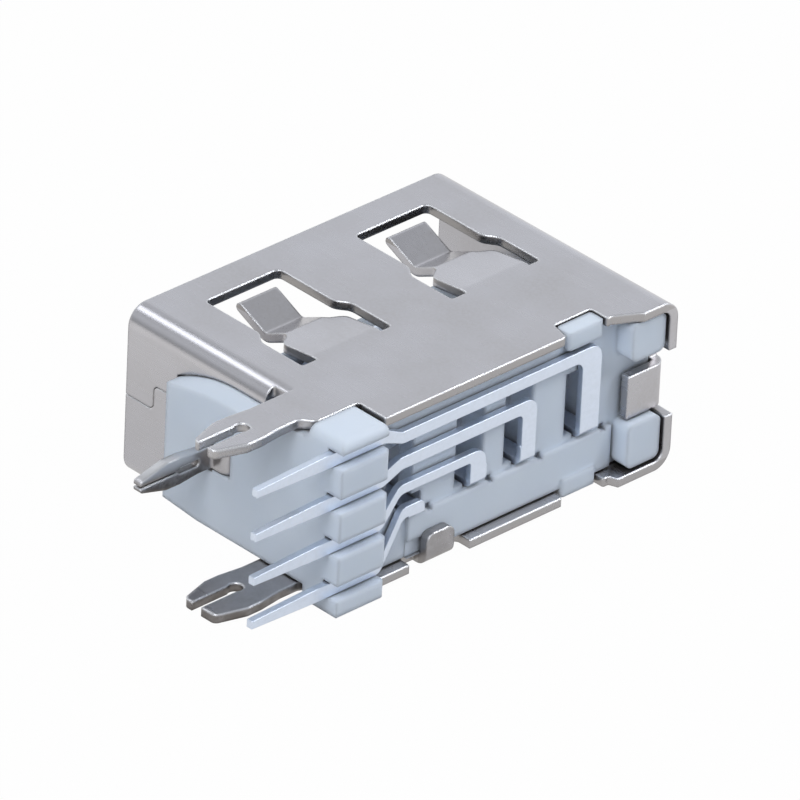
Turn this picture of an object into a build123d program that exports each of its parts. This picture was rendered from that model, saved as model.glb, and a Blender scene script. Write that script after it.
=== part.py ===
import os

from build123d import *

# Side-entry socket for a flat rectangular plug, lying with its wide face up.
# +X points to the circuit board, -Y is the mouth where the plug goes in, +Z is the wide face.
# The origin is the middle of the face that seats on the board. Lengths are millimetres.

# Folded shell
sheet = 0.3  # thickness of the plated steel
plug_opening_width = 12.5  # inside the shell, along X
plug_opening_height = 5.2  # inside the shell, along Z
shell_depth = 10.0  # mouth to the rearmost shell edge
upper_setback = 0.5  # the middle of the upper plate stops this far short of that edge
lower_setback = 0.3  # the same for the lower plate
lower_side_setback = 0.43  # and for its short piece beside the comb
corner_radius = 0.65  # outside radius of the four long bends
board_stand = 0.48  # the housing's board face stands this far outside the shell wall
board_face_back = 6.0  # from the mouth to the origin
past = 2.0  # how far cutting sketches run past an edge

# Plate springs and their windows
window_offset = 3.05  # window centre from the shell's centre line
spring_shift = -0.08  # spring centre from its window's centre
window_front = 1.15  # from the mouth to the window's front edge
window_width = 3.0
window_bulge = 0.32  # the window widens this much on each side beside the spring's root
window_corner = 0.2
window_end_corner = 0.12
spring_root = 5.75  # from the mouth to where the spring leaves the plate
spring_tip = 1.8  # from the mouth to the spring's free end
spring_bend = 2.95  # from the mouth to the contact ridge
spring_knee = 3.85  # from the mouth to where the spring leaves its flat root
spring_dip = 0.62  # depth of the ridge under the plate
spring_knee_dip = 0.2
spring_tip_dip = 0.1
spring_curl = 0.4  # bend radius on the centre line
spring_overlap = 0.25
spring_tip_width = 1.5
spring_root_width = 2.58
shoulder_length = 0.75

# Wall towards the board
wall_length = 2.2  # full wall behind the mouth, along Y
bend_length = 5.95  # the long bends on this side end here, from the mouth
notch_depth = 0.35  # relief between the bend's end and the leg, along X
opening_reach = 2.29  # half height of the opening that the housing fills
opening_shoulder = 1.6  # half height of that opening at the wall's edge
opening_rise = 2.6  # length over which it opens out, along Y
seam_height = -0.08  # where the two ends of the sheet meet
seam_gap = 0.04
lock_start = 1.2  # from the mouth to the stepped lock in the seam
lock_rise = 0.83  # height of that step

# Board-lock legs in the planes of the two plates
leg_reach = 3.15  # beyond the board face
upper_leg_row = 2.76  # from the rearmost shell edge to the centre line
upper_leg_widths = (1.36, 1.54, 0.85)  # at the neck, the bulge and the tip
lower_leg_row = 2.67
lower_leg_widths = (1.68, 1.9, 1.3)
leg_stations = (0.7, 1.55, 2.1)  # end of the neck, start and end of the bulge, from the board face
leg_root_inset = 0.35  # the sheet runs this far from the board face beside the root
leg_slit = 0.4
leg_slit_row = 2.8  # from the rearmost shell edge
leg_slit_length = 1.55
leg_eye = 0.24  # radius

# Middle leg: a tongue of the wall runs under the housing's skin, turns out and back, then out
blade_row = 4.3  # from the mouth to the blade's rear face
blade_reach = 2.85  # beyond the board face
blade_neck = 0.76  # along Z, as is the strap that carries it
blade_bulge = 0.92
blade_tip = 0.36
blade_stations = (0.55, 1.25, 1.8)
blade_slit = 0.09
blade_eye = 0.24
blade_eye_length = 0.85
blade_eye_start = 0.5
strap_turn = 5.05  # from the mouth to the outside of the turn
strap_bend = 0.23  # bend radius on the centre line

# Tabs folded over the rear of the housing
tab_setback = 0.35  # outside of both tabs to the rearmost shell edge
tab_bend = 0.42  # outside bend radius
lower_tab_centre = 2.63  # along X from the shell's centre
lower_tab_width = 1.12
lower_tab_height = 1.1
lower_tab_corner = 0.3
tab_relief = 0.62
lower_relief_depth = 0.5  # from the plate's edge beside the comb
side_tab_height = 1.46
side_tab_raise = -0.17  # its centre along Z
side_tab_reach = 1.6  # along X from the outside of the wall
side_gap = 0.62  # open relief above the side tab
side_slit = 0.2  # and under it
side_relief_depth = 0.8

# Rear edge of the plates at the far corner
upper_corner_run = 1.35  # along X from the outside of the far wall
upper_corner_fall = 0.95  # the edge falls to the plate's middle over this length
lower_corner_run = 2.15
lower_corner_fall = 0.12
corner_sweep = 0.45
edge_round = 0.2

# Housing
fit_gap = 0.05  # between the housing and the shell around it
rear_wall = 0.8  # the rear wall's main face is this far inside the rearmost shell edge
rear_wall_thickness = 1.0  # from that face to the bottom of the plug opening
ledge_rise = 0.13  # lower ledge over that face
ledge_top = -1.1
ledge_from = -4.65  # along X from the shell's centre
ledge_to = 3.7
tongue_width = 11.1
tongue_thickness = 1.84
tongue_top = -0.06
tongue_front = 1.0  # from the mouth
tongue_lead = 0.25
skin_round = 0.34  # the board-side block rolls over this far at its upper edge
skin_start = 6.5  # from the mouth to where it rises under the legs
skin_front_low = -2.42
skin_low = -2.55
skin_low_rise = 1.5  # length over which the lower edge reaches that
comb_width = 1.98  # along X
comb_length = 1.47  # along Y
comb_rear_setback = 0.15
comb_below = 3.05  # reach under the centre plane
comb_round = 0.3
comb_tooth_round = 0.2
comb_pocket_width = 1.55  # the wall is cut back behind the strips beside the comb
comb_pocket_depth = 0.65
block_setback = 0.1
block_width = 1.36
block_round = 0.25
upper_block = (1.22, 2.55)  # along Z
lower_block = (-2.5, -1.0)
boss_width = 1.42
boss_centre = -3.3
boss_length = 0.6
boss_setback = 0.58
boss_from = 2.25
boss_top = 2.84
boss_round = 0.12

# Contacts
contact_pitches = (-3.5, -1.0, 1.0, 3.5)  # along X from the shell's centre
contact_sheet = 0.22
contact_setback = 0.5  # rear face of the strips to the rearmost shell edge
beam_width = 0.6
strip_heights = (1.93, 1.04, 0.12, -0.74)
strip_widths = (0.4, 0.42, 0.32, 0.36)
plate_edges = ((-3.92, -3.15), (-1.3, -0.72), (0.74, 1.36), (3.22, 3.86))
strip_corner = 0.45
strip_inner_corners = (0.32, 0.2, 0.12, 0)
step_round = 0.35
step_starts = (-2.75, -2.75, -2.75, -2.9)
step_end = -2.06
tail_pitch = 1.5
tail_width = 0.45
tail_reach = 3.08  # beyond the board face
tail_tip_width = 0.26
tail_straight = 0.5
tail_gap = 0.05  # each side of a tail in its comb slot
beam_height = -1.0  # underside of the beam in the tongue
beam_rise = 0.6  # its rear end stands up this far behind the plate
beam_tip = 1.7  # from the mouth
beam_ridge = 2.7
beam_knee = 6.2
ridge_height = 0.55
beam_bend = 0.25
groove_width = 0.8
groove_front = 0.4  # behind the tongue's front
window_reach = 0.75  # a rear window runs this far towards the board from its contact's centre
window_tops = (1.3, 1.66, 1.66, -0.42)
nub_height = 0.16
plate_notch = 0.22  # small square hole in the wall beside a plate's lower corner
plate_notch_depth = 0.25
plate_notch_shift = 0.5

# Places worked out from the sizes above
mouth = -board_face_back
shell_width = plug_opening_width + 2 * sheet
shell_height = plug_opening_height + 2 * sheet
shell_x = -board_stand - shell_width / 2
wall_out = -board_stand
wall_in = wall_out - sheet
far_out = shell_x - shell_width / 2
far_in = far_out + sheet
top_out = shell_height / 2
top_in = top_out - sheet
plate_middle = top_out - sheet / 2
rear = mouth + shell_depth
upper_rear = rear - upper_setback
lower_rear = rear - lower_setback
inside_top = top_in - fit_gap
inside_far = far_in + fit_gap
rear_y = rear - rear_wall
cavity_end = rear_y - rear_wall_thickness
tab_y = rear - tab_setback
comb_rear = rear - comb_rear_setback
comb_front = comb_rear - comb_length
boss_rear = rear - boss_setback
boss_front = boss_rear - boss_length
boss_x = shell_x + boss_centre
strip_rear = rear - contact_setback
side_tab_top = side_tab_raise + side_tab_height / 2
side_tab_bottom = side_tab_raise - side_tab_height / 2
lower_tab_x = shell_x + lower_tab_centre
blade_y = mouth + blade_row
tail_heights = [(1.5 - row) * tail_pitch for row in range(4)]


def spring_plan(width_front, width_root, front, knee, root):
    """Outline of a spring or of its window, narrow in front and wider behind a smooth shoulder."""
    half_front = width_front / 2
    half_root = width_root / 2
    Line((-half_front, front), (half_front, front))
    for side in (-1, 1):
        Line((side * half_front, front), (side * half_front, knee))
        Spline(
            (side * half_front, knee),
            (side * half_root, knee + shoulder_length),
            tangents=((0, 1), (0, 1)),
        )
        Line((side * half_root, knee + shoulder_length), (side * half_root, root))
    Line((-half_root, root), (half_root, root))


def leg_plan(row, widths, stations, reach, start):
    """Outline of a board-lock leg: neck, bulge and narrower tip, drawn along local X."""
    neck, bulge, tip = (width / 2 for width in widths)
    for side in (-1, 1):
        Polyline(
            (start, row + side * neck),
            (stations[0], row + side * neck),
            (stations[1], row + side * bulge),
            (stations[2], row + side * bulge),
            (reach, row + side * tip),
        )
    Line((start, row - neck), (start, row + neck))
    Line((reach, row - tip), (reach, row + tip))


# One plate spring: the side form is bent first, then trimmed to its outline.
with BuildPart() as spring:
    with BuildSketch(Plane.YZ):
        with BuildLine():
            FilletPolyline(
                (mouth + spring_root + spring_overlap, plate_middle),
                (mouth + spring_root - spring_overlap, plate_middle),
                (mouth + spring_knee, plate_middle - spring_knee_dip),
                (mouth + spring_bend, plate_middle - spring_dip),
                (mouth + spring_tip, plate_middle - spring_tip_dip),
                radius=spring_curl,
            )
            offset(amount=sheet / 2, kind=Kind.INTERSECTION)
        make_face()
    extrude(amount=spring_root_width / 2, both=True)
    with BuildSketch(Plane.XY.offset(top_out - past)):
        with BuildLine():
            spring_plan(
                spring_tip_width,
                spring_root_width,
                mouth + window_front,
                mouth + spring_knee - sheet / 2,
                mouth + spring_root + spring_overlap,
            )
        make_face()
    extrude(amount=2 * past, mode=Mode.INTERSECT)

with BuildPart() as shell:
    # Closed tube of sheet, mouth to rear
    with BuildSketch(Plane.XZ.offset(-mouth)):
        with Locations((shell_x, 0)):
            RectangleRounded(shell_width, shell_height, corner_radius)
            RectangleRounded(
                plug_opening_width,
                plug_opening_height,
                corner_radius - sheet,
                mode=Mode.SUBTRACT,
            )
    extrude(amount=-shell_depth)

    # Rear edges of the two plates, with the gaps for the comb block and the bosses
    boss_side = boss_width / 2 + fit_gap
    for level, middle_rear, run, fall in (
        (0, upper_rear, upper_corner_run, upper_corner_fall),
        (-shell_height, lower_rear, lower_corner_run, lower_corner_fall),
    ):
        with BuildSketch(Plane.XY.offset(level)):
            with BuildLine():
                Polyline(
                    (far_out + run, rear + past),
                    (far_out + run, rear),
                    (far_out + run + fall, middle_rear),
                    (boss_x - boss_side, middle_rear),
                    (boss_x - boss_side, boss_front - fit_gap),
                    (boss_x + boss_side, boss_front - fit_gap),
                    (boss_x + boss_side + edge_round, middle_rear),
                    (-comb_width - fit_gap, middle_rear),
                    (-comb_width - fit_gap, comb_front - fit_gap),
                    (past, comb_front - fit_gap),
                    (past, rear + past),
                    close=True,
                )
            make_face()
            fillet([v for v in vertices() if v.Y < rear - edge_round / 2], edge_round / 3)
            fillet(vertices().sort_by_distance((far_out + run, rear))[0], min(corner_sweep, fall / 2))
        extrude(amount=shell_height, mode=Mode.SUBTRACT)
    with BuildSketch(Plane.XY.offset(-shell_height)):
        with Locations((lower_tab_x, rear - lower_side_setback)):
            Rectangle(shell_width / 2, past, align=(Align.MIN, Align.MIN))
    extrude(amount=shell_height, mode=Mode.SUBTRACT)

    # Far wall at the rear: reliefs above and under the strip that becomes the side tab
    side_front = rear - side_relief_depth
    with BuildSketch(Plane.YZ.offset(far_out - past)):
        with Locations((side_front, side_tab_top)):
            Rectangle(past, side_gap, align=(Align.MIN, Align.MIN))
        with Locations((tab_y - 1.2 * tab_bend, side_tab_raise)):
            Rectangle(past, side_tab_height, align=(Align.MIN, Align.CENTER))
        with BuildLine():
            Polyline(
                (side_front, side_tab_bottom),
                (side_front, side_tab_bottom - side_slit),
                (rear + past, side_tab_bottom - 1.5 * side_slit),
                (rear + past, side_tab_bottom),
                close=True,
            )
        make_face()
    extrude(amount=past + corner_radius, mode=Mode.SUBTRACT)

    # Side tab folded over the rear of the housing
    with BuildSketch(Plane.XY.offset(side_tab_bottom)):
        with BuildLine():
            FilletPolyline(
                (far_out + sheet / 2, tab_y - 1.5 * tab_bend),
                (far_out + sheet / 2, tab_y - sheet / 2),
                (far_out + side_tab_reach, tab_y - sheet / 2),
                radius=tab_bend - sheet / 2,
            )
            offset(amount=sheet / 2, kind=Kind.INTERSECTION)
        make_face()
    extrude(amount=side_tab_height)
    with BuildSketch(Plane.XY.offset(side_tab_bottom)):
        with Locations((far_out + side_tab_reach, tab_y - sheet / 2)):
            Rectangle(sheet, 2 * sheet, align=(Align.MIN, Align.CENTER))
    extrude(amount=side_tab_height, mode=Mode.SUBTRACT)

    # Lower tab folded up over the rear of the housing, with a relief on each side
    relief_front = rear - lower_side_setback - lower_relief_depth
    with BuildSketch(Plane.XY.offset(-shell_height)):
        with Locations((lower_tab_x, relief_front)):
            Rectangle(
                lower_tab_width + 2 * tab_relief,
                past,
                align=(Align.CENTER, Align.MIN),
            )
        fillet(vertices().group_by(Axis.Y)[0], edge_round)
    extrude(amount=shell_height, mode=Mode.SUBTRACT)
    with BuildSketch(Plane.YZ.offset(lower_tab_x)):
        with BuildLine():
            FilletPolyline(
                (relief_front - sheet, -plate_middle),
                (tab_y - sheet / 2, -plate_middle),
                (tab_y - sheet / 2, -top_out + lower_tab_height),
                radius=tab_bend - sheet / 2,
            )
            offset(amount=sheet / 2, kind=Kind.INTERSECTION)
        make_face()
    extrude(amount=lower_tab_width / 2, both=True)
    with BuildSketch(Plane.XZ.offset(-tab_y - sheet)):
        with Locations((lower_tab_x, -top_out + lower_tab_height)):
            Rectangle(2 * lower_tab_width, lower_tab_height)
            RectangleRounded(
                lower_tab_width,
                2 * lower_tab_height,
                lower_tab_corner,
                align=(Align.CENTER, Align.MAX),
                mode=Mode.SUBTRACT,
            )
    extrude(amount=2 * sheet + fit_gap, mode=Mode.SUBTRACT)

    # Opening towards the board: the wall stays behind the mouth, the bends reach further
    wall_end = mouth + wall_length
    with BuildSketch(Plane.YZ.offset(wall_in - corner_radius)):
        with BuildLine():
            for side in (-1, 1):
                Spline(
                    (wall_end, side * opening_shoulder),
                    (wall_end + opening_rise, side * opening_reach),
                    tangents=((1, side * 0.5), (1, 0)),
                )
                Line(
                    (wall_end + opening_rise, side * opening_reach),
                    (rear + past, side * opening_reach),
                )
            Line((wall_end, -opening_shoulder), (wall_end, opening_shoulder))
            Line((rear + past, -opening_reach), (rear + past, opening_reach))
        make_face()
    extrude(amount=2 * corner_radius + sheet + board_stand, mode=Mode.SUBTRACT)
    with BuildSketch(Plane.XY.offset(-shell_height)):
        with Locations((wall_out - notch_depth, mouth + bend_length)):
            Rectangle(past, shell_depth, align=(Align.MIN, Align.MIN))
        fillet(vertices().group_by(Axis.X)[0].group_by(Axis.Y)[0], edge_round / 2)
    extrude(amount=2 * shell_height, mode=Mode.SUBTRACT)

    # Stepped seam where the ends of the sheet meet
    with BuildSketch(Plane.YZ.offset(wall_in - sheet / 2)):
        with BuildLine():
            FilletPolyline(
                (mouth - past, seam_height),
                (mouth + lock_start, seam_height),
                (mouth + lock_start, seam_height + lock_rise),
                (wall_end + sheet, seam_height + lock_rise),
                radius=edge_round,
            )
            offset(amount=seam_gap / 2, kind=Kind.INTERSECTION)
        make_face()
    extrude(amount=2 * sheet, mode=Mode.SUBTRACT)

    # Board-lock legs, one in the plane of each plate
    root_x = wall_out - corner_radius - sheet
    slit_end = leg_reach - leg_slit_length
    for level, leg_row, widths in (
        (top_in, rear - upper_leg_row, upper_leg_widths),
        (-top_out, rear - lower_leg_row, lower_leg_widths),
    ):
        with BuildSketch(Plane.XY.offset(level)):
            with BuildLine():
                leg_plan(leg_row, widths, leg_stations, leg_reach, root_x)
            make_face()
            with BuildLine():
                Polyline(
                    (root_x, leg_row),
                    (root_x, comb_front - fit_gap),
                    (-leg_root_inset, comb_front - fit_gap),
                    (0, leg_row + widths[0] / 2),
                    (0, leg_row),
                    close=True,
                )
            make_face()
            fillet([v for v in vertices() if v.X > -leg_root_inset - fit_gap], edge_round)
            with Locations((slit_end, rear - leg_slit_row)):
                Rectangle(
                    leg_slit_length + past,
                    leg_slit,
                    align=(Align.MIN, Align.CENTER),
                    mode=Mode.SUBTRACT,
                )
                Circle(leg_eye, mode=Mode.SUBTRACT)
        extrude(amount=sheet)

    # Middle leg: strap under the housing's skin, turn, foot in its pocket, then the slit blade
    wall_middle = wall_out - sheet / 2
    strap_bottom = seam_height - blade_neck / 2
    with BuildSketch(Plane.XY.offset(strap_bottom)):
        with BuildLine():
            FilletPolyline(
                (wall_middle, wall_end - sheet),
                (wall_middle, mouth + strap_turn - sheet / 2),
                (-sheet / 2, mouth + strap_turn - sheet / 2),
                (-sheet / 2, blade_y - sheet / 2),
                (blade_stations[0], blade_y - sheet / 2),
                radius=strap_bend,
            )
            offset(amount=sheet / 2, kind=Kind.INTERSECTION)
        make_face()
    extrude(amount=blade_neck)
    with BuildSketch(Plane.XZ.offset(-blade_y)):
        with BuildLine():
            leg_plan(
                seam_height,
                (blade_neck, blade_bulge, blade_tip),
                blade_stations,
                blade_reach,
                edge_round,
            )
        make_face()
        fillet([v for v in vertices() if v.X > 2 * edge_round], edge_round / 2)
    extrude(amount=sheet)
    with BuildSketch(Plane.XZ.offset(-blade_y - past)):
        with Locations((blade_reach, seam_height)):
            Rectangle(2 * (blade_reach - blade_eye_start - blade_eye), blade_slit)
        with Locations((blade_eye_start + blade_eye_length / 2, seam_height)):
            SlotOverall(blade_eye_length, blade_eye)
    extrude(amount=2 * past, mode=Mode.SUBTRACT)

    # Windows in both plates, then the springs that were cut from them
    for offset_x in (-window_offset, window_offset):
        with BuildSketch(Plane((shell_x + offset_x, 0, -shell_height))):
            with BuildLine():
                spring_plan(
                    window_width,
                    window_width + 2 * window_bulge,
                    mouth + window_front,
                    mouth + spring_knee - 1.5 * sheet,
                    mouth + spring_root,
                )
            make_face()
            fillet(vertices().group_by(Axis.Y)[0], window_corner)
            fillet(vertices().group_by(Axis.Y)[-1], window_end_corner)
        extrude(amount=2 * shell_height, mode=Mode.SUBTRACT)
    for offset_x in (-window_offset, window_offset):
        placed = spring.part.moved(Location((shell_x + offset_x + spring_shift, 0, 0)))
        add(placed)
        add(placed.mirror(Plane.XY))
    shell.part.label = "shell"

# Insulating body with the tongue, the comb for the tails and the rear blocks
with BuildPart() as housing:
    # Board-side block: its skin outside the shell rolls over at the top
    front = wall_end + fit_gap
    shoulder = opening_shoulder - fit_gap
    reach = opening_reach - fit_gap
    skin_end = comb_front + sheet
    step_y = mouth + skin_start
    for x, roll in ((wall_out + fit_gap, 0), (0, skin_round)):
        with BuildSketch(Plane.YZ.offset(x)):
            with BuildLine():
                Spline(
                    (front, shoulder),
                    (front + opening_rise, reach - roll),
                    tangents=((1, 0.5 - roll / skin_round / 3), (1, 0)),
                )
                Polyline(
                    (front + opening_rise, reach - roll),
                    (step_y, reach - roll),
                    (step_y, inside_top - roll / 3),
                    (skin_end, inside_top - roll / 3),
                    (skin_end, skin_low),
                    (front + skin_low_rise, skin_low),
                    (front, skin_front_low),
                    (front, shoulder),
                )
            make_face()
    loft()

    # The inner part of that block fills the opening in the wall
    with BuildSketch(Plane.YZ.offset(wall_in)):
        with BuildLine():
            for side in (-1, 1):
                Spline(
                    (front, side * shoulder),
                    (front + opening_rise, side * reach),
                    tangents=((1, side * 0.5), (1, 0)),
                )
                Line((front + opening_rise, side * reach), (skin_end, side * reach))
            Line((front, -shoulder), (front, shoulder))
            Line((skin_end, -reach), (skin_end, reach))
        make_face()
    extrude(amount=sheet + fit_gap)

    # Rear wall across the whole opening
    with BuildSketch(Plane.XY.offset(-inside_top)):
        with Locations((inside_far, cavity_end)):
            Rectangle(-inside_far, rear_wall_thickness, align=(Align.MIN, Align.MIN))
    extrude(amount=2 * inside_top)
    fillet(
        housing.edges().filter_by(Axis.Y).group_by(Axis.X)[0],
        corner_radius - sheet,
    )

    # Ledge under the contacts
    with BuildSketch(Plane.XY.offset(-inside_top)):
        with Locations((shell_x + ledge_from, rear_y)):
            Rectangle(ledge_to - ledge_from, ledge_rise, align=(Align.MIN, Align.MIN))
    extrude(amount=ledge_top + inside_top)

    # Tongue, rooted in the rear wall
    tongue_start = mouth + tongue_front
    with BuildSketch(Plane.XY.offset(tongue_top)):
        with Locations((shell_x, tongue_start)):
            Rectangle(
                tongue_width,
                rear_y - fit_gap - tongue_start,
                align=(Align.CENTER, Align.MIN),
            )
    extrude(amount=-tongue_thickness)
    lead = housing.faces().filter_by(Axis.Y).group_by(Axis.Y)[0].edges()
    chamfer(lead, tongue_lead)

    # Comb block
    with BuildSketch(Plane.XY.offset(-comb_below)):
        with Locations((-comb_width, comb_front)):
            Rectangle(comb_width, comb_length, align=(Align.MIN, Align.MIN))
        fillet(vertices().group_by(Axis.Y)[-1].group_by(Axis.X)[0], comb_tooth_round)
    extrude(amount=comb_below + top_out)
    comb_edges = housing.faces().sort_by(Axis.Z)[-1].edges().sort_by(Axis.Y)
    fillet(comb_edges[1:], comb_round)

    # Blocks at the far rear corner and the bosses in the plate notches
    for low, high in (upper_block, lower_block):
        with BuildSketch(Plane.XZ.offset(-rear_y)):
            with Locations((inside_far + fit_gap, (low + high) / 2)):
                Rectangle(block_width, high - low, align=(Align.MIN, Align.CENTER))
            fillet(vertices(), block_round)
        extrude(amount=-(rear_wall - block_setback))
    with BuildSketch(Plane.XY.offset(boss_from)):
        with Locations((boss_x, boss_front)):
            Rectangle(boss_width, boss_length, align=(Align.CENTER, Align.MIN))
        fillet(vertices(), boss_round)
    boss = extrude(amount=boss_top - boss_from)
    mirror(boss, about=Plane.XY)

    # Wall cut back behind the strips beside the comb
    pocket_low = strip_heights[3] + strip_widths[3] / 2
    with BuildSketch(Plane.XZ.offset(-rear_y)):
        with Locations((-comb_width, pocket_low)):
            Rectangle(
                comb_pocket_width,
                strip_heights[0] - strip_widths[0] / 2 - pocket_low,
                align=(Align.MAX, Align.MIN),
            )
        fillet(vertices().group_by(Axis.X)[0], edge_round)
    extrude(amount=comb_pocket_depth, mode=Mode.SUBTRACT)

    # Room for the strap under the skin and for the turn and foot of the middle leg
    with BuildSketch(Plane.YZ.offset(wall_in - fit_gap)):
        with Locations((front - past, seam_height)):
            Rectangle(
                mouth + strap_turn + fit_gap - front + past,
                blade_neck + 2 * fit_gap,
                align=(Align.MIN, Align.CENTER),
            )
    extrude(amount=sheet + 2 * fit_gap, mode=Mode.SUBTRACT)
    with BuildSketch(Plane.YZ.offset(wall_out + fit_gap)):
        with Locations((blade_y - sheet - fit_gap, seam_height)):
            Rectangle(
                sheet + 2 * fit_gap,
                blade_bulge + 2 * fit_gap,
                align=(Align.MIN, Align.CENTER),
            )
        with Locations((blade_y, seam_height)):
            Rectangle(
                mouth + strap_turn + fit_gap - blade_y,
                blade_neck + 2 * fit_gap,
                align=(Align.MIN, Align.CENTER),
            )
    extrude(amount=board_stand, mode=Mode.SUBTRACT)

    # Slots for the four tails, open to the rear
    with BuildSketch(Plane.YZ.offset(past)):
        for height in tail_heights:
            with Locations((strip_rear - contact_sheet - tail_gap, height)):
                Rectangle(
                    past,
                    tail_width + 2 * tail_gap,
                    align=(Align.MIN, Align.CENTER),
                )
    extrude(amount=-comb_width - 2 * past, mode=Mode.SUBTRACT)

    # Grooves in the tongue, and the rear windows that they meet
    floor = beam_height - fit_gap
    for number in range(4):
        middle = shell_x + contact_pitches[number]
        half = groove_width / 2
        with BuildSketch(Plane.XZ.offset(fit_gap - cavity_end)):
            with Locations((middle - half, floor)):
                Rectangle(
                    groove_width,
                    window_tops[number] - floor,
                    align=(Align.MIN, Align.MIN),
                )
            with Locations((middle, floor + nub_height)):
                Rectangle(
                    window_reach,
                    window_tops[number] - floor - nub_height,
                    align=(Align.MIN, Align.MIN),
                )
            fillet(vertices().group_by(Axis.Y)[-1].group_by(Axis.X)[0], edge_round / 2)
        extrude(amount=cavity_end - fit_gap - rear, mode=Mode.SUBTRACT)
        with BuildSketch(Plane.XZ.offset(-rear_y - ledge_rise)):
            with Locations((shell_x + plate_edges[number][0] - plate_notch_shift, ledge_top)):
                Rectangle(plate_notch, plate_notch, align=(Align.MIN, Align.CENTER))
        extrude(amount=plate_notch_depth, mode=Mode.SUBTRACT)
        with BuildSketch(Plane.XY.offset(floor)):
            with Locations((middle, tongue_start + groove_front)):
                Rectangle(
                    groove_width,
                    cavity_end - tongue_start,
                    align=(Align.CENTER, Align.MIN),
                )
        extrude(amount=past, mode=Mode.SUBTRACT)
    housing.part.label = "housing"

# Contacts, all bent from strip: beam on the tongue, plate over the rear wall, strip, tail
contacts = []
for number in range(4):
    middle = shell_x + contact_pitches[number]
    left, right = (shell_x + edge for edge in plate_edges[number])
    high = strip_heights[number] + strip_widths[number] / 2
    low = strip_heights[number] - strip_widths[number] / 2
    tail = tail_heights[number]
    half_tail = tail_width / 2
    plate_bottom = min(beam_height + contact_sheet, low - fit_gap)
    beam_middle = beam_height + contact_sheet / 2
    beam_path = [
        (strip_rear - contact_sheet / 2, beam_middle),
        (mouth + beam_knee, beam_middle),
        (mouth + beam_ridge, ridge_height),
        (mouth + beam_tip, beam_middle + contact_sheet / 2),
    ]
    if high > beam_height + beam_rise:
        beam_path.insert(0, (strip_rear - contact_sheet / 2, beam_height + beam_rise))
    with BuildPart() as contact:
        with BuildSketch(Plane.XZ.offset(-strip_rear)):
            with BuildLine():
                Polyline(
                    (left, plate_bottom),
                    (left, high),
                    (step_starts[number], high),
                    (step_end, tail + half_tail),
                    (tail_straight, tail + half_tail),
                    (tail_reach, tail + tail_tip_width / 2),
                    (tail_reach, tail - tail_tip_width / 2),
                    (tail_straight, tail - half_tail),
                    (step_end, tail - half_tail),
                    (step_starts[number] - fit_gap, low),
                    (right, low),
                    (right, plate_bottom),
                    close=True,
                )
            make_face()
            outer = vertices().sort_by_distance((left, high))[0]
            fillet(outer, min(strip_corner, (high - plate_bottom) / 2))
            if strip_inner_corners[number] > 0:
                fillet(vertices().sort_by_distance((right, low))[0], strip_inner_corners[number])
            step_low = step_starts[number] - 2 * fit_gap
            fillet([v for v in vertices() if step_low < v.X < 0], step_round)
        extrude(amount=contact_sheet)
        with BuildSketch(Plane.YZ.offset(middle)):
            with BuildLine():
                FilletPolyline(*beam_path, radius=beam_bend)
                offset(amount=contact_sheet / 2, kind=Kind.INTERSECTION)
            make_face()
        extrude(amount=beam_width / 2, both=True)
    contact.part.label = "contact_" + str(number + 1)
    contacts.append(contact.part)

os.makedirs("parts", exist_ok=True)
export_step(shell.part, "parts/shell.step")
export_step(housing.part, "parts/housing.step")
for piece in contacts:
    export_step(piece, "parts/" + piece.label + ".step")
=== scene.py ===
import math

import bmesh
import bpy
from mathutils import Matrix, Vector


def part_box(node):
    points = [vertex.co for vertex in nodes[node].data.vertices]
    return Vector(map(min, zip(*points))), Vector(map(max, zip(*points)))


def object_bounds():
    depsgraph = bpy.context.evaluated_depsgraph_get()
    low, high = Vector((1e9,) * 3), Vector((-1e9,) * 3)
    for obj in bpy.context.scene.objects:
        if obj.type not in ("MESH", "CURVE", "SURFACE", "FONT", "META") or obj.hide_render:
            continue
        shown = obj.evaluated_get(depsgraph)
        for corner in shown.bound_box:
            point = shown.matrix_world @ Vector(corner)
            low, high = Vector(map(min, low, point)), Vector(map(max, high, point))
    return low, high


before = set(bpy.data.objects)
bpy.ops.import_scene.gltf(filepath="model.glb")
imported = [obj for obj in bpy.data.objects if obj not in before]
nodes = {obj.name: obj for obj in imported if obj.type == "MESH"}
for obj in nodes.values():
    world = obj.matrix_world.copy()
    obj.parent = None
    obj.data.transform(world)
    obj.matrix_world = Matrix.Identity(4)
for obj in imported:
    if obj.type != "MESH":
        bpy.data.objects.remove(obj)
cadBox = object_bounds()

mm = 0.001
white = (1, 1, 1, 1)
socketMiddle = Vector((-7 * mm, 0, 0))  # the lamps aim here, and the floor spreads from here

# Camera, at the photo's angle

shot = {
    "azimuth": 135.3,
    "elevation": 30.93,
    "roll": 2.73,
    "distance": 408.0 * mm,
    "aim": (-7.03 * mm, -6.0 * mm, 0.0),
    "slide": (3.405 * mm, -2.404 * mm),  # of the camera, along its own right and up
    "lens": 610.1,  # in millimetres, and so is the sensor's width
    "sensor": 36,
    "clip": (0.01, 10),
}


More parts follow.
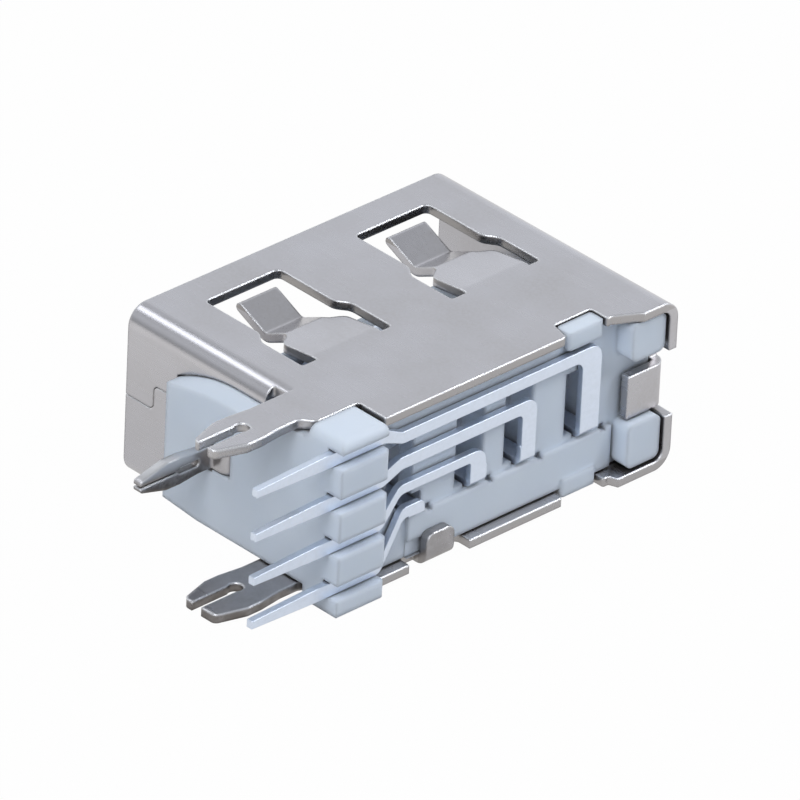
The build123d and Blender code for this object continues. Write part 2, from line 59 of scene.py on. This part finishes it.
def placeCamera():
    turn = math.radians(shot["azimuth"])
    lift = math.radians(shot["elevation"])
    roll = math.radians(shot["roll"])
    back = Vector((math.sin(turn) * math.cos(lift), -math.cos(turn) * math.cos(lift), math.sin(lift)))
    levelRight = Vector((math.cos(turn), math.sin(turn), 0))
    levelUp = back.cross(levelRight)
    right = levelRight * math.cos(roll) + levelUp * math.sin(roll)
    up = levelUp * math.cos(roll) - levelRight * math.sin(roll)
    slideRight, slideUp = shot["slide"]
    data = bpy.data.cameras.new("photoCamera")
    data.lens = shot["lens"]
    data.sensor_width = shot["sensor"]
    data.clip_start, data.clip_end = shot["clip"]
    camera = bpy.data.objects.new("photoCamera", data)
    bpy.context.scene.collection.objects.link(camera)
    camera.matrix_world = Matrix((right, up, back)).transposed().to_4x4()
    camera.matrix_world.translation = (
        Vector(shot["aim"]) + back * shot["distance"] + right * slideRight + up * slideUp)
    bpy.context.scene.camera = camera


placeCamera()
print("camera placed")

# Node helpers

noiseMiddle = (0.3, 0.7)  # most of a noise's values lie in here


class Graph:
    firstColumn = -1600  # in the node editor
    columnWidth = 180
    samples = 6  # rays of each Ambient Occlusion and Bevel node

    def __init__(self, tree):
        self.tree = tree
        self.columns = 0

    def feed(self, node, socket, value):
        # Links another node's output, or sets a fixed value
        if isinstance(value, bpy.types.NodeSocket):
            self.tree.links.new(value, node.inputs[socket])
        else:
            node.inputs[socket].default_value = value

    def add(self, kind, inputs=None, **settings):
        node = self.tree.nodes.new(kind)
        node.location = (self.firstColumn + self.columns * self.columnWidth, 0)
        self.columns += 1
        for name, value in settings.items():
            setattr(node, name, value)
        for socket, value in (inputs or {}).items():
            self.feed(node, socket, value)
        return node

    def math(self, operation, first, second=0.0):
        return self.add("ShaderNodeMath", operation=operation, inputs={0: first, 1: second}).outputs[0]

    def times(self, first, *others):
        product = first
        for other in others:
            product = self.math("MULTIPLY", product, other)
        return product

    def mean(self, first, second):
        return self.times(self.math("ADD", first, second), 0.5)

    def larger(self, first, second):
        return self.math("MAXIMUM", first, second)

    def above(self, value, limit):
        return self.math("GREATER_THAN", value, limit)

    def below(self, value, limit):
        return self.math("LESS_THAN", value, limit)

    def within(self, value, limits):
        return self.times(self.above(value, limits[0]), self.below(value, limits[1]))

    def spread(self, value, results, over=(0.0, 1.0)):
        # Goes from the first result to the second as the value passes over a range, and is level outside it
        node = self.add("ShaderNodeMapRange", inputs={
            "Value": value,
            "From Min": over[0],
            "From Max": over[1],
            "To Min": results[0],
            "To Max": results[1],
        })
        return node.outputs["Result"]

    def rise(self, value, over):
        return self.spread(value, (0.0, 1.0), over)

    def fade(self, value, over=(0.0, 1.0)):
        return self.spread(value, (1.0, 0.0), over)

    def axes(self, vector):
        return tuple(self.add("ShaderNodeSeparateXYZ", inputs={0: vector}).outputs)

    def mapped(self, place, scale=(1, 1, 1), shift=(0, 0, 0)):
        node = self.add("ShaderNodeMapping", inputs={"Vector": place, "Scale": scale, "Location": shift})
        return node.outputs[0]

    def noise(self, place, scale=1.0, detail=3.0, roughness=0.55, stretch=None):
        if stretch:
            place = self.mapped(place, scale=stretch)
        node = self.add("ShaderNodeTexNoise", inputs={
            "Vector": place, "Scale": scale, "Detail": detail, "Roughness": roughness})
        return node.outputs["Fac"]

    def blendColour(self, amount, first, second):
        # The Mix node has sockets for each kind of data, and those for colours are 6, 7 and output 2
        node = self.add("ShaderNodeMix", data_type="RGBA", inputs={0: amount, 6: first, 7: second})
        return node.outputs[2]

    def hemmedIn(self, reach, over):
        # 1 far into a slot or gap, 0 on an open face; the materials paint shade with it
        node = self.add("ShaderNodeAmbientOcclusion", samples=self.samples, inputs={"Distance": reach})
        return self.fade(node.outputs["AO"], over)

    def roundedNormal(self, radius, samples=samples):
        return self.add("ShaderNodeBevel", samples=samples, inputs={"Radius": radius}).outputs[0]


def startMaterial(name):
    material = bpy.data.materials.new(name)
    material.use_nodes = True
    graph = Graph(material.node_tree)
    shader = material.node_tree.nodes["Principled BSDF"]
    place = graph.add("ShaderNodeTexCoord").outputs["Object"]
    return material, graph, shader, graph.mapped(place, scale=(1 / mm, 1 / mm, 1 / mm))


def finishShader(graph, shader, finish, colour, roughness, height, edge):
    # A fine bump over the normal that rounds the edges, and the links into the shader
    bump = graph.add("ShaderNodeBump", inputs={
        "Height": height, "Distance": finish["bump"], "Strength": finish["bumpStrength"], "Normal": edge})
    graph.feed(shader, "Base Color", colour)
    graph.feed(shader, "Roughness", roughness)
    graph.feed(shader, "Normal", bump.outputs[0])


# Nickel-plated sheet of the shell

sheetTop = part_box("shell")[1][2] / mm  # outer face of the upper plate
sheetThickness = 0.3
faceMargin = 0.01  # left out beside both faces of the sheet, where only its cut edges count

# Places are in millimetres along X, Y or Z, and what faces rear or up is told by that axis of the normal
shellSteel = {
    "colour": (0.54, 0.53, 0.55, 1),
    "dull": (0.48, 0.465, 0.465, 1),
    "roughness": (0.24, 0.34),
    "cloud": {"scale": 0.35, "detail": 4.0},
    "cloudDull": {"results": (0.0, 0.6), "over": (0.35, 0.65)},
    "speck": {"scale": 9.0, "detail": 4.0, "roughness": 0.7},
    "speckDull": {"results": (0.2, 1.6), "over": noiseMiddle},
    "rolled": {"stretch": (9, 0.5, 9), "roughness": 0.6},  # the rolling grain, drawn out along Y
    "speckBump": 0.6,  # of the rolling grain's height
    "bump": 0.0003 * mm,
    "bumpStrength": 0.6,
    "edgeRound": (0.11 * mm, 0.15 * mm),  # on the folded sheet and on the legs
    "outOfTheFolds": (-0.4, 0.2),  # along X, where the one gives way to the other
    "gapReach": 0.9 * mm,
    "gap": (0.2, 0.75),  # openness, from fully in a gap to fully out of it
    "cutEdgeAndShade": {  # the cut edges of the sheet, rougher and darker than its faces; this colour is also painted shade in gaps and on the legs where they face down
        "colour": (0.37, 0.352, 0.34, 1),
        "plateEdges": (sheetTop - sheetThickness + faceMargin, sheetTop - faceMargin),  # up or down
        "betweenBends": (-12.9, -1.2),
        "facingRear": 0.3,  # and more
        "facingUp": (0.0, 0.6),  # from a cut face to a face of the sheet
        "share": (1.0, 0.62),  # of the dark colour, at the windows and at the rear edge
        "windowsToRear": (-0.2, 0.4),
        # painted shade on the legs, darker where they face down
        "legShare": 0.75,
        "legs": (0.0, 0.3),  # from the housing out to the legs, and so below
        "legsFacingUp": (-0.4, 0.4),
    },
    "paintedShade": {  # painted shade, a dark reflection on the lower half of the middle leg, on the lower leg and on the tab behind y and below z
        "colour": (0.11, 0.095, 0.083, 1),
        "legs": (-0.1, 0.4),
        "middleLeg": (-0.42, 0.22),
        "middleLegBottom": -1.0,
        "lowerLegTop": -2.0,
        "lowerLegShare": (0.95, 0.3),
        "lowerLegFacingUp": (-0.2, 0.6),
        "lowerTab": {"x": (-5.0, -3.8), "y": 3.3, "z": -1.2, "share": 0.42},
        "patches": {"scale": 2.2, "detail": 3.0},
        "patchShare": {"results": (0.7, 1.0), "over": (0.35, 0.6)},
    },
    "paintedHighlight": {  # painted highlight on sharp edges that look up, and on the top of the middle leg
        "colour": (0.84, 0.84, 0.845, 1),
        "likeness": (0.78, 0.97),  # of the rounded normal to the face's own, from bright to plain
        "facingUp": (0.1, 0.5),
        "middleLeg": (0.0, 0.3),
        "middleLegTop": 1.0,
        "middleLegShare": 0.7,
        "legs": (0.2, 0.8),
    },
}


def cutEdgeAndShadeShare(graph, place, rounded):
    zone = shellSteel["cutEdgeAndShade"]
    x, y, z = graph.axes(place)
    normalY, normalZ = graph.axes(rounded)[1:]
    inSheet = graph.within(graph.math("ABSOLUTE", z), zone["plateEdges"])
    facesRear = graph.above(graph.math("ABSOLUTE", normalY), zone["facingRear"])
    cutFaces = graph.times(inSheet, graph.larger(facesRear, graph.within(x, zone["betweenBends"])))
    plates = graph.times(cutFaces, graph.fade(normalZ, zone["facingUp"]),
                         graph.spread(y, zone["share"], zone["windowsToRear"]))
    # painted shade: the legs darker where they face down
    legs = graph.times(graph.spread(x, (0.0, zone["legShare"]), zone["legs"]),
                       graph.fade(normalZ, zone["legsFacingUp"]))
    return graph.larger(plates, legs)


def paintedShadeShare(graph, place, rounded):
    zone = shellSteel["paintedShade"]
    x, y, z = graph.axes(place)
    normalZ = graph.axes(rounded)[2]
    # painted shade: darker on the lower half of the middle leg, on the down-facing lower leg and on the
    # lower tab, broken by random patches
    middleLeg = graph.times(graph.fade(z, zone["middleLeg"]), graph.above(z, zone["middleLegBottom"]))
    lowerLeg = graph.times(graph.spread(normalZ, zone["lowerLegShare"], zone["lowerLegFacingUp"]),
                           graph.below(z, zone["lowerLegTop"]))
    legs = graph.times(graph.larger(middleLeg, lowerLeg), graph.rise(x, zone["legs"]))
    tab = zone["lowerTab"]
    onTab = graph.times(graph.within(x, tab["x"]), graph.above(y, tab["y"]), graph.below(z, tab["z"]))
    patches = graph.spread(graph.noise(place, **zone["patches"]), **zone["patchShare"])
    return graph.times(graph.larger(legs, graph.times(onTab, tab["share"])), patches)


def paintedHighlightShare(graph, place, rounded):
    zone = shellSteel["paintedHighlight"]
    x, y, z = graph.axes(place)
    normalZ = graph.axes(rounded)[2]
    face = graph.add("ShaderNodeNewGeometry").outputs["True Normal"]
    likeness = graph.add("ShaderNodeVectorMath", operation="DOT_PRODUCT", inputs={0: rounded, 1: face})
    # painted highlight on edges that look up
    edges = graph.times(graph.fade(likeness.outputs["Value"], zone["likeness"]),
                        graph.rise(normalZ, zone["facingUp"]))
    # painted highlight on the top of the middle leg
    middleLeg = graph.times(graph.spread(z, (0.0, zone["middleLegShare"]), zone["middleLeg"]),
                            graph.below(z, zone["middleLegTop"]), graph.rise(x, zone["legs"]))
    return graph.larger(edges, middleLeg)


def makeShellSteel():
    material, graph, shader, place = startMaterial("shellSteel")
    cloud = graph.noise(place, **shellSteel["cloud"])
    speck = graph.noise(place, **shellSteel["speck"])
    rolled = graph.noise(place, **shellSteel["rolled"])
    x = graph.axes(place)[0]
    edge = graph.roundedNormal(graph.spread(x, shellSteel["edgeRound"], shellSteel["outOfTheFolds"]))
    dullness = graph.times(graph.spread(cloud, **shellSteel["cloudDull"]),
                           graph.spread(speck, **shellSteel["speckDull"]))
    colour = graph.blendColour(dullness, shellSteel["colour"], shellSteel["dull"])
    # painted shade in gaps, from the Ambient Occlusion node, drawn in the cut-edge colour
    shadeInGap = graph.hemmedIn(shellSteel["gapReach"], shellSteel["gap"])
    # the cut-edge colour with painted shade, then painted shade, then painted highlight, laid over the
    # metal's own colour
    for overlay, share in (
            ("cutEdgeAndShade", graph.larger(cutEdgeAndShadeShare(graph, place, edge), shadeInGap)),
            ("paintedShade", paintedShadeShare(graph, place, edge)),
            ("paintedHighlight", paintedHighlightShare(graph, place, edge))):
        colour = graph.blendColour(share, colour, shellSteel[overlay]["colour"])
    roughness = graph.spread(graph.mean(rolled, cloud), shellSteel["roughness"], noiseMiddle)
    height = graph.math("ADD", graph.times(speck, shellSteel["speckBump"]), rolled)
    finishShader(graph, shader, shellSteel, colour, roughness, height, edge)
    shader.inputs["Metallic"].default_value = 1
    return material


# Pale moulded plastic of the housing

housingPlastic = {
    "colour": (0.795, 0.87, 0.978, 1),
    "shade": (0.77, 0.85, 0.962, 1),
    "paintedSlotShade": (0.2, 0.182, 0.17, 1),  # painted shade in slots and windows, where little light comes back out
    "slotReach": 1.5 * mm,
    "slot": (0.08, 0.34),  # openness, from fully in a slot to fully out of it
    "roughness": (0.38, 0.5),
    "cloud": {"scale": 0.5, "detail": 2.0},
    "grain": {"scale": 14.0, "roughness": 0.6},
    "edgeRound": 0.22 * mm,
    "bump": 0.004 * mm,
    "bumpStrength": 0.35,
    "shader": {  # light goes a little way into the plastic
        "Subsurface Weight": 0.34,
        "Subsurface Radius": (1.0, 1.0, 1.1),
        "Subsurface Scale": 0.55 * mm,
        "IOR": 1.5,
    },
}


def makeHousingPlastic():
    material, graph, shader, place = startMaterial("housingPlastic")
    cloud = graph.noise(place, **housingPlastic["cloud"])
    grain = graph.noise(place, **housingPlastic["grain"])
    shaded = graph.rise(cloud, noiseMiddle)
    openFace = graph.blendColour(shaded, housingPlastic["colour"], housingPlastic["shade"])
    # painted shade in slots and windows
    shadeInSlot = graph.hemmedIn(housingPlastic["slotReach"], housingPlastic["slot"])
    colour = graph.blendColour(shadeInSlot, openFace, housingPlastic["paintedSlotShade"])
    roughness = graph.spread(cloud, housingPlastic["roughness"], noiseMiddle)
    edge = graph.roundedNormal(housingPlastic["edgeRound"])
    finishShader(graph, shader, housingPlastic, colour, roughness, grain, edge)
    for socket, value in housingPlastic["shader"].items():
        shader.inputs[socket].default_value = value
    return material


# Matt tin on the contacts

contactTin = {
    "colour": (0.765, 0.83, 0.94, 1),
    "dull": (0.72, 0.785, 0.885, 1),
    "paintedSlotShade": (0.33, 0.32, 0.32, 1),  # painted shade where the strips pass through the slots
    "slotReach": 0.8 * mm,
    "slot": (0.08, 0.36),
    "roughness": (0.34, 0.48),
    "speck": {"scale": 7.0, "detail": 4.0, "roughness": 0.65},
    "speckDull": (0.35, 0.7),
    "drawn": {"stretch": (0.6, 8, 8), "roughness": 0.6},  # marks along X
    "edgeRound": 0.05 * mm,
    "edgeSamples": 4,
    "bump": 0.0006 * mm,
    "bumpStrength": 0.5,
}


def makeContactTin():
    material, graph, shader, place = startMaterial("contactTin")
    speck = graph.noise(place, **contactTin["speck"])
    drawn = graph.noise(place, **contactTin["drawn"])
    dullness = graph.rise(speck, contactTin["speckDull"])
    openFace = graph.blendColour(dullness, contactTin["colour"], contactTin["dull"])
    # painted shade where the strips pass through the slots
    shadeInSlot = graph.hemmedIn(contactTin["slotReach"], contactTin["slot"])
    colour = graph.blendColour(shadeInSlot, openFace, contactTin["paintedSlotShade"])
    roughness = graph.spread(drawn, contactTin["roughness"], noiseMiddle)
    edge = graph.roundedNormal(contactTin["edgeRound"], contactTin["edgeSamples"])
    finishShader(graph, shader, contactTin, colour, roughness, graph.math("ADD", speck, drawn), edge)
    shader.inputs["Metallic"].default_value = 1
    return material


def dress(name, material):
    data = nodes[name].data
    if len(data.materials) == 0:
        data.materials.append(material)
    for index in range(len(data.materials)):
        data.materials[index] = material


dress("shell", makeShellSteel())
dress("housing", makeHousingPlastic())
tin = makeContactTin()
for name in nodes:
    if name.startswith("contact_"):
        dress(name, tin)
print("finishes made")

# Floor, room and lamps

# In the room, "over" and "height" are ranges of the X, Y or Z of the direction that is looked in
studio = {
    "floor": {
        "size": 0.6,  # half of each side
        "drop": 0.02 * mm,  # under the lowest face, so that the two don't share a plane
        "colour": (0.49, 0.49, 0.49, 1),
        "roughness": 0.9,
        "specular": 0.1,
        "seen": 0.985,  # share of the floor's white that stays in the object's shadow
        "mirrored": (0.7, 1.0),  # brightness of the floor as the object mirrors it, near by and far off; darker near by as a painted shadow
        "over": (12 * mm, 24 * mm),  # distance from the socket, from near by to far off
    },
    "room": {
        "colour": (0.95, 0.985, 1.04, 1),
        "light": 0.66,
        "ceiling": {"share": 0.53, "over": (0.5, 0.78)},  # share of the walls' brightness, and so below
        "boardSide": {"share": 0.8, "over": (-0.3, 0.7)},  # the wall that the board face looks at
        "rearSide": {"share": 0.5, "over": (0.0, 0.5)},  # the wall behind the socket, unless mirrored
        "skirting": {"share": 0.42, "height": (0.1, 0.42), "over": (0.35, 0.65)},  # low on the board side
    },
    "lampColour": (0.95, 0.985, 1.05),
    "lamps": {
        "key": {"size": 0.075, "power": 0.034, "place": (0.02, -0.118, 0.162)},
        "rim": {"size": 0.06, "power": 0.06, "place": (-0.095, 0.075, 0.09)},
        "fill": {"size": 0.10, "power": 0.102, "place": (0.089, 0.04, 0.122)},
    },
}


def seenOrMirrored(graph, seen, mirrored):
    ray = graph.add("ShaderNodeLightPath").outputs
    bounced = graph.larger(ray["Is Glossy Ray"], ray["Is Transmission Ray"])
    return graph.larger(graph.times(ray["Is Camera Ray"], seen), graph.times(bounced, mirrored))


def makePaleFloor():
    settings = studio["floor"]
    material = bpy.data.materials.new("paleFloor")
    material.use_nodes = True
    graph = Graph(material.node_tree)
    shader = material.node_tree.nodes["Principled BSDF"]
    shader.inputs["Base Color"].default_value = settings["colour"]
    shader.inputs["Roughness"].default_value = settings["roughness"]
    shader.inputs["Specular IOR Level"].default_value = settings["specular"]
    glow = graph.add("ShaderNodeEmission", inputs={"Color": white, "Strength": 1.0}).outputs[0]
    place = graph.add("ShaderNodeTexCoord").outputs["Object"]
    centred = graph.mapped(place, shift=-socketMiddle)
    away = graph.add("ShaderNodeVectorMath", operation="LENGTH", inputs={0: centred}).outputs["Value"]
    # painted shadow: the floor darker near the socket in the metal's reflections
    mirrored = graph.spread(away, settings["mirrored"], settings["over"])
    share = seenOrMirrored(graph, settings["seen"], mirrored)
    top = graph.add("ShaderNodeMixShader", inputs={0: share, 1: shader.outputs[0], 2: glow}).outputs[0]
    # From below the floor is clear, so that the underside of the socket can be looked at
    underside = graph.add("ShaderNodeNewGeometry").outputs["Backfacing"]
    clear = graph.add("ShaderNodeBsdfTransparent").outputs[0]
    surface = graph.add("ShaderNodeMixShader", inputs={0: underside, 1: top, 2: clear}).outputs[0]
    graph.feed(material.node_tree.nodes["Material Output"], "Surface", surface)
    return material


def makeFloor():
    level = cadBox[0][2] - studio["floor"]["drop"]
    mesh = bpy.data.meshes.new("floor")
    work = bmesh.new()
    bmesh.ops.create_grid(work, x_segments=1, y_segments=1, size=studio["floor"]["size"])
    bmesh.ops.translate(work, verts=work.verts, vec=socketMiddle + Vector((0, 0, level)))
    work.to_mesh(mesh)
    work.free()
    mesh.materials.append(makePaleFloor())
    floor = bpy.data.objects.new("floor", mesh)
    bpy.context.scene.collection.objects.link(floor)


def makeRoom():
    room = studio["room"]
    world = bpy.data.worlds.new("whiteRoom")
    world.use_nodes = True
    bpy.context.scene.world = world
    graph = Graph(world.node_tree)
    x, y, z = graph.axes(graph.add("ShaderNodeTexCoord").outputs["Generated"])
    seen = graph.add("ShaderNodeLightPath").outputs["Is Camera Ray"]
    seenOrGlossy = seenOrMirrored(graph, 1.0, 1.0)
    rear = graph.times(graph.rise(y, room["rearSide"]["over"]), graph.fade(seenOrGlossy))
    low = graph.times(graph.fade(z, room["skirting"]["height"]), graph.rise(x, room["skirting"]["over"]))
    light = graph.spread(seenOrGlossy, (room["light"], 1.0))
    for part, value, over in (
            ("ceiling", z, room["ceiling"]["over"]),
            ("boardSide", x, room["boardSide"]["over"]),
            ("rearSide", rear, (0.0, 1.0)),
            ("skirting", low, (0.0, 1.0))):
        light = graph.times(light, graph.spread(value, (1.0, room[part]["share"]), over))
    background = world.node_tree.nodes["Background"]
    graph.feed(background, "Color", graph.blendColour(seen, room["colour"], white))
    graph.feed(background, "Strength", graph.larger(light, seen))


def makeLamp(name, settings):
    data = bpy.data.lights.new(name, "AREA")
    data.shape = "DISK"
    data.size = settings["size"]
    data.energy = settings["power"]
    data.color = studio["lampColour"]
    lamp = bpy.data.objects.new(name, data)
    bpy.context.scene.collection.objects.link(lamp)
    lamp.location = Vector(settings["place"])
    lamp.rotation_euler = (lamp.location - socketMiddle).to_track_quat("Z", "Y").to_euler()


makeFloor()
makeRoom()
for name, settings in studio["lamps"].items():
    makeLamp(name, settings)
print("studio built")

bpy.context.scene.view_settings.view_transform = "Standard"
